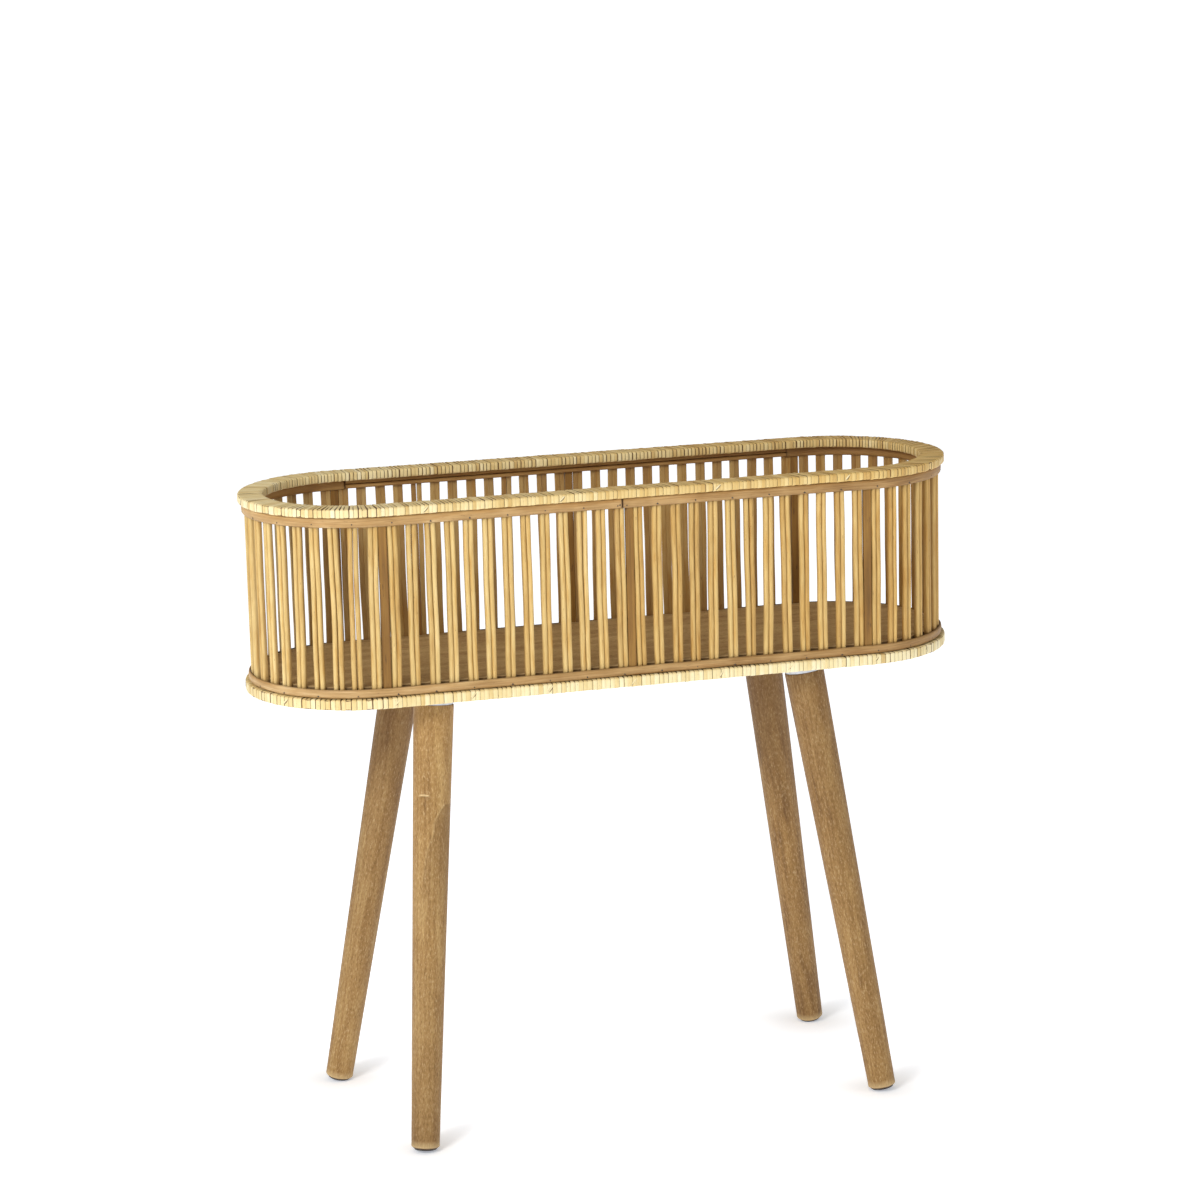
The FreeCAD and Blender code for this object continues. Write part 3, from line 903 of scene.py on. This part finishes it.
def build_bands():
    """The two bands with their nails. The upper one's joint is at the front, the lower's behind."""
    chance.seed(BAND_SEED)
    for name, joint, back in (("upper", UPPER_JOINT_X, False), ("lower", LOWER_JOINT_X, True)):
        low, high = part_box(name + "_outer_band")
        outside = high.y
        inside = -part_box("reeds_front_left")[0].y + BAND_BEHIND
        start = loop_length(outside) / 2 - joint if back else joint
        section = band_section(inside, outside, low.z + BAND_BELOW, high.z - BAND_ABOVE)
        strands = Strands()
        length = loop_length(outside) - JOINT_GAP
        carried(strands, section, start + JOINT_GAP / 2, length, outside, BAND_WAVE)
        piece(name + "_split_band", strands, "band", (name + "_outer_band",), BAND_SHARP)
        heads, dents = Strands(), Strands()
        surface = outside - NAIL_SINK
        for at in nail_places(outside, start):
            height = low.z + (high.z - low.z) * NAIL_SHARE
            height += chance.uniform(-NAIL_JITTER, NAIL_JITTER)
            nail(heads, at, outside, surface, height)
            dent(dents, at, outside, surface, height)
        piece(name + "_band_nails", heads, "nail")
        piece(name + "_band_nail_dents", dents, "band")


def build_lining():
    """Two rods along each straight side and a flat strip round each end, under the top hoop."""
    for name in ("upper", "lower"):
        low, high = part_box("inner_rod_" + name)
        radius = (high.z - low.z) / 2
        out = high.y - radius
        centre = (low.z + high.z) / 2
        section = []
        for turn in angles(ROD_SIDES):
            x, z = radius * math.cos(turn), radius * math.sin(turn)
            # The half of each rod that faces the reeds is darkened as painted shade.
            section.append((out + x, centre + z, 0.5 * max(0.0, math.cos(turn))))
        strands = Strands()
        for start in (low.x, loop_length(out) / 2 + low.x):
            carried(strands, section, start, high.x - low.x, out, ROD_WAVE)
        piece("round_rods_" + name, strands, "rod", ("inner_rod_" + name,), BAND_SHARP)
    for end in ("right", "left"):
        low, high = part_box("inner_strip_" + end)
        lap = HALF_STRAIGHT - min(abs(low.x), abs(high.x))
        section = band_section(high.y, high.y - STRIP_THICKNESS, low.z, high.z)
        start = HALF_STRAIGHT - lap + (loop_length(high.y) / 2 if end == "left" else 0.0)
        strands = Strands()
        carried(strands, section, start, math.pi * high.y + 2 * lap, high.y, STRIP_WAVE, 0.3)
        piece("round_strip_" + end, strands, "rod", ("inner_strip_" + end,), BAND_SHARP)


# Legs, glides, screws and the board


def leg_axis(name):
    """The leg's foot and top on its axis, and its radius at each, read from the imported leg."""
    base = middle("glide_" + name)
    axis = (middle("hanger_bolt_" + name) - base).normalized()
    ends = {}
    reach = [((v.co - base).dot(axis), v.co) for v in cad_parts["leg_" + name].data.vertices]
    for end, along in (("foot", min(r[0] for r in reach)), ("top", max(r[0] for r in reach))):
        centre = base + axis * along
        radius = max((co - centre).length for t, co in reach if abs(t - along) < 0.0001)
        ends[end] = (centre, radius)
    return axis, ends


def lathe(strands, base, axis, profile, sides, tint, offset, uneven=0.0, marks=None):
    """A round piece: its profile's steps are a radius, a distance along the axis, stain with painted
    shade, and wear. An uneven piece is nowhere thicker than its profile. Marks add stain and wear
    of their own."""
    across = (LEG_FRONT - axis * LEG_FRONT.dot(axis)).normalized()
    other = axis.cross(across)
    start = len(strands.points)
    phase = chance.uniform(0, 6)
    for radius, along, stain_and_shade, wear_and_painted_light in profile:
        for turn in angles(sides):
            r = radius * (1 - uneven + uneven * math.sin(2 * turn + phase + along * 11))
            x, y = r * math.cos(turn), r * math.sin(turn)
            place = base + axis * along + across * x + other * y
            stained, worn = marks(along, x / r, y / r) if marks else (0.0, 0.0)
            strands.point(place, offset + Vector((along, x, y)), tint, stain_and_shade + stained, max(wear_and_painted_light, worn))
    strands.skin(start, len(profile), sides)


def front_left_marks(along, toward, aside):
    """The pale scar on the front left leg and the darker figure in its grain below: how much more
    they stain and wear the leg at a height along it and a share of the way across its front."""
    if toward < 0:
        return 0.0, 0.0
    across = (aside - SCAR_ASIDE) / SCAR_HALF_WIDTH
    level = along - SCAR_ALONG + SCAR_ARCH * across * across
    near_scar = max(0.0, 1 - across ** 4)
    wear_and_painted_light = near_scar * max(0.0, 1 - abs(level) / SCAR_HALF_HEIGHT)
    stain_and_shade = 0.2 * near_scar if -0.0040 < level < -0.0010 else 0.0
    for (high, high_edge), (low, low_edge) in zip(FIGURE_EDGE, FIGURE_EDGE[1:]):
        if low <= along < high:
            edge = low_edge + (high_edge - low_edge) * (along - low) / (high - low)
            fade = (along - FIGURE_EDGE[-1][0]) / (FIGURE_EDGE[0][0] - FIGURE_EDGE[-1][0])
            inside = clamp((aside - edge) / 0.06)
            stain_and_shade = max(stain_and_shade, 0.30 * inside * fade ** 0.7)
            wear_and_painted_light = max(wear_and_painted_light, 0.26 * fade * max(0.0, 1 - abs(aside - edge) / 0.05))
    return stain_and_shade, wear_and_painted_light


def build_legs():
    """The tapered legs, with a worn edge at the foot and a hole for the bolt at the top."""
    chance.seed(LEG_SEED)
    for name, (tint, low, half, high) in LEGS.items():
        axis, ends = leg_axis(name)
        foot, foot_radius = ends["foot"]
        top, top_radius = ends["top"]
        length = (top - foot).length
        full = foot_radius + FOOT_EDGE
        profile = [
            (0.002, 0.0, 0.3, 0.0),
            (foot_radius - 0.0002, 0.0, 0.5, 0.0),
            (foot_radius, 0.0001, 0.75, 0.0),
            (full - 0.0003, FOOT_EDGE - 0.0004, 0.75, 0.0),
            (full, FOOT_EDGE, low + 0.1, 0.5),
            (full, FOOT_EDGE + 0.0025, low, 0.3),
            (full, FOOT_EDGE + FOOT_WEAR, low, 0.0),
        ]
        marks = front_left_marks if name == "front_left" else None
        along = FOOT_EDGE + FOOT_WEAR
        while along < length - 0.012:
            marked = marks and FIGURE_EDGE[-1][0] < along < SCAR_ALONG + 0.003
            along += MARK_STEP if marked else LEG_STEP
            radius = full + (top_radius - full) * (along - FOOT_EDGE) / (length - FOOT_EDGE)
            share = 2 * along / length
            # Painted shade along the leg, eased from its foot value to its middle and top values.
            shaded = low + (half - low) * min(1.0, share) + (high - half) * max(0.0, share - 1)
            profile.append((radius, along, shaded, 0.0))
        profile += [
            (top_radius, length - 0.0030, high, 0.0),
            (top_radius - 0.00005, length - 0.0006, high + 0.1, 0.0),
            (top_radius - 0.0006, length, 0.5, 0.0),
            (BOLT_HOLE_RADIUS, length, 0.8, 0.0),
            (BOLT_HOLE_RADIUS, length - BOLT_HOLE_DEPTH, 1.0, 0.0),
        ]
        strands = Strands()
        lathe(strands, foot, axis, profile, LEG_SIDES, tint, random_grain(), LEG_UNEVEN, marks)
        piece("turned_leg_" + name, strands, "leg", ("leg_" + name,))
        build_glide(name, foot, axis)


def build_glide(name, foot, axis):
    """The pad under the foot, pressed with a rounded edge."""
    low = middle("glide_" + name)
    half = (foot - low).length
    vertices = [v.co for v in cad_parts["glide_" + name].data.vertices]
    radius = max(math.sqrt(max(0.0, (co - low).length_squared - half * half)) for co in vertices)
    radius -= GLIDE_CLEARANCE
    ease = 0.3 * half
    profile = [
        (0.001, -half, 0.0, 0.0),
        (radius - ease, -half, 0.0, 0.0),
        (radius - 0.3 * ease, -half + 0.3 * ease, 0.0, 0.0),
        (radius, -half + ease, 0.0, 0.0),
        (radius, half - ease, 0.0, 0.0),
        (radius - ease, half, 0.0, 0.0),
        (0.001, half, 0.0, 0.0),
    ]
    strands = Strands()
    lathe(strands, low, axis, profile, GLIDE_SIDES, 0.5, random_grain())
    piece("round_glide_" + name, strands, "glide", ("glide_" + name,))


def screw(strands, at, turned):
    """A pan-head screw under the flange, its head towards the floor with a cross-shaped recess."""
    start = len(strands.points)
    radius = SCREW_HEAD_DIAMETER / 2
    rings = [(0.97, 0.0), (1.0, 0.15), (0.98, 0.4), (0.88, 0.7), (0.7, 0.9)]
    rings += [(0.5, 0.98), (0.4, 0.99), (0.3, 1.0), (0.2, 1.0), (0.1, 1.0), (0.02, 1.0)]
    for share, drop in rings:
        for turn in angles(SCREW_SIDES):
            x, y = radius * share * math.cos(turn), radius * share * math.sin(turn)
            in_slot = share < 0.55 and min(abs(x), abs(y)) < 0.13 * radius
            depth = SCREW_HEAD_HEIGHT * (drop - (0.55 if in_slot else 0.0))
            spin = Vector((x, y, 0))
            spin.rotate(Matrix.Rotation(turned, 3, "Z"))
            strands.point(at + spin - Vector((0, 0, depth)), Vector((x, y, 0)), 0.5)
    strands.skin(start, len(rings), SCREW_SIDES)


def build_screws():
    """Four screws under the flange of each leg's plate, which is turned the way the leg leans."""
    strands = Strands()
    for name in LEGS:
        seat = middle("leg_plate_" + name)
        lean = middle("leg_" + name) - seat
        heading = math.atan2(lean.y, lean.x)
        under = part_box("leg_plate_" + name)[1].z - PLATE_THICKNESS
        for a, b in ((-1, -1), (-1, 1), (1, -1), (1, 1)):
            reach = Vector((a * SCREW_REACH, b * SCREW_REACH, 0))
            reach.rotate(Matrix.Rotation(heading, 3, "Z"))
            screw(strands, Vector((seat.x, seat.y, under)) + reach, chance.uniform(0, 1.5))
    piece("pan_head_screws", strands, "steel", ("plate_screws",))


def build_board():
    """The base board: a round-ended slab with eased edges, its grain along X."""
    low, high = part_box("base_board")
    line, edge = BOARD_OUTSIDE, BOARD_EDGE
    strands = Strands()
    # The outer edge face is darkened as painted shade of the slot by the band; just inside the top edge a
    # pale worn strip, partly a painted highlight, then a fine darker line.
    rings = (
        (line - edge, low.z, 0.1, 0.0),
        (line - 0.3 * edge, low.z + 0.3 * edge, 0.2, 0.0),
        (line, low.z + edge, 0.45, 0.0),
        (line, high.z - edge, 0.75, 0.0),
        (line - 0.3 * edge, high.z - 0.3 * edge, 0.5, 0.0),
        (line - edge, high.z, 0.1, 0.5),
        (line - 2.5 * edge, high.z, 0.0, 0.5),
        (line - 3.5 * edge, high.z, 0.2, 0.0),
        (line - BOARD_RING, high.z, 0.0, 0.0),
    )
    length = loop_length(line)
    offset = random_grain()
    for out, height, stain_and_shade, wear_and_painted_light in rings:
        for j in range(BOARD_SIDES):
            place = plan_point(length * j / BOARD_SIDES, line, out, height)
            strands.point(place, offset + place, 0.5, stain_and_shade, wear_and_painted_light)
    strands.skin(0, len(rings), BOARD_SIDES)
    piece("board_panel", strands, "board", ("base_board",))


def dress_cad_nodes():
    """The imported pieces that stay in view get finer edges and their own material."""
    looks = {
        "post_": "post", "leg_plate_": "steel", "threaded_bush_": "steel", "hanger_bolt_": "steel",
        "top_rim_core": "core", "bottom_rim_core": "core",
    }
    for name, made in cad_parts.items():
        for start, look in looks.items():
            if not name.startswith(start):
                continue
            made.data.materials.clear()
            made.data.materials.append(materials[look])
            made.data.shade_smooth()
            made.data.set_sharp_from_angle(angle=CAD_SHARP)
            if look in ("post", "steel"):
                bevel = made.modifiers.new("edges", "BEVEL")
                bevel.width = CAD_BEVEL
                bevel.segments = 2
                bevel.angle_limit = SHARP
                bevel.harden_normals = True


# Camera, floor and lights


def place_camera():
    pitch, yaw, roll = [math.radians(angle) for angle in CAMERA_PITCH_YAW_ROLL]
    forward = Vector((math.sin(yaw) * math.cos(pitch), math.cos(yaw) * math.cos(pitch), -math.sin(pitch)))
    level = Vector((math.cos(yaw), -math.sin(yaw), 0.0))
    down = forward.cross(level)
    right = math.cos(roll) * level + math.sin(roll) * down
    up = math.sin(roll) * level - math.cos(roll) * down
    data = bpy.data.cameras.new("camera")
    data.lens = CAMERA_LENS
    data.sensor_width = 36.0
    data.clip_end = 200.0
    made = add_object("camera", data)
    turned = Matrix((right, up, -forward)).transposed()
    made.matrix_world = Matrix.Translation(CAMERA_PLACE) @ turned.to_4x4()
    bpy.context.scene.camera = made


def area_light(name, place, target, size, power):
    data = bpy.data.lights.new(name, "AREA")
    data.shape = "DISK"
    data.size = size
    data.energy = power
    made = add_object(name, data)
    made.location = place
    made.rotation_euler = (Vector(target) - Vector(place)).to_track_quat("-Z", "Y").to_euler()


def stage_piece(name, points, faces, material):
    mesh = bpy.data.meshes.new(name)
    mesh.from_pydata(points, [], faces)
    mesh.materials.append(material)
    made = add_object(name, mesh)


def build_floor():
    """A glowing pale floor, dimmer near the feet as painted shade, so that faint shadows show."""
    material, tree, surface = shader("floor_paint", 0.9, 0.1)
    place = object_place(tree)
    cloud = noise(tree, place, 3.0, 3.0, 3.0, 0.5)
    shades = [(0.925, 0.925, 0.925, 1.0), (0.945, 0.945, 0.945, 1.0)]
    tree.links.new(ramp(tree, cloud, shades, 0.3, 0.4), surface.inputs["Base Color"])
    surface.inputs["Emission Color"].default_value = GLOW_COLOUR
    nearest = 1.0
    for name in LEGS:
        foot = middle("glide_" + name)
        away = node(tree, "ShaderNodeVectorMath", {0: place, 1: foot}, operation="DISTANCE")
        nearest = math_node(tree, "MINIMUM", away.outputs["Value"], nearest)
    glow = spread(tree, nearest, FOOT_GLOW_REACH, FLOOR_GLOW_REACH, FOOT_GLOW, FLOOR_GLOW)
    tree.links.new(glow, surface.inputs["Emission Strength"])
    reach = FLOOR_REACH
    corners = [(-reach, -reach, 0), (reach, -reach, 0), (reach, reach, 0), (-reach, reach, 0)]
    stage_piece("floor", corners, [(0, 1, 2, 3)], material)


def build_backdrop():
    """A low glowing wall far off all round, which hides the floor's end from a low camera."""
    material, _, surface = shader("backdrop_paint", 0.9, 0.1)
    surface.inputs["Base Color"].default_value = (0.93, 0.93, 0.93, 1.0)
    surface.inputs["Emission Color"].default_value = GLOW_COLOUR
    surface.inputs["Emission Strength"].default_value = BACKDROP_GLOW
    reach = BACKDROP_REACH
    foot = [(reach * math.cos(turn), reach * math.sin(turn), 0) for turn in angles(BACKDROP_SIDES)]
    top = [(x, y, BACKDROP_HEIGHT) for x, y, _ in foot]
    quads = [(j, (j + 1) % BACKDROP_SIDES) for j in range(BACKDROP_SIDES)]
    faces = [(a, b, b + BACKDROP_SIDES, a + BACKDROP_SIDES) for a, b in quads]
    stage_piece("backdrop", foot + top, faces, material)


def build_light():
    """Three soft lamps and an even sky."""
    for lamp in LAMPS:
        area_light(*lamp)
    world = bpy.data.worlds.new("studio")
    world.use_nodes = True
    back = world.node_tree.nodes["Background"]
    back.inputs["Color"].default_value = SKY_COLOUR
    back.inputs["Strength"].default_value = SKY_STRENGTH
    bpy.context.scene.world = world
    bpy.context.scene.view_settings.view_transform = "Standard"


build_rims()
build_reeds()
build_bands()
build_lining()
build_legs()
build_screws()
build_board()
dress_cad_nodes()
place_camera()
build_floor()
build_backdrop()
build_light()
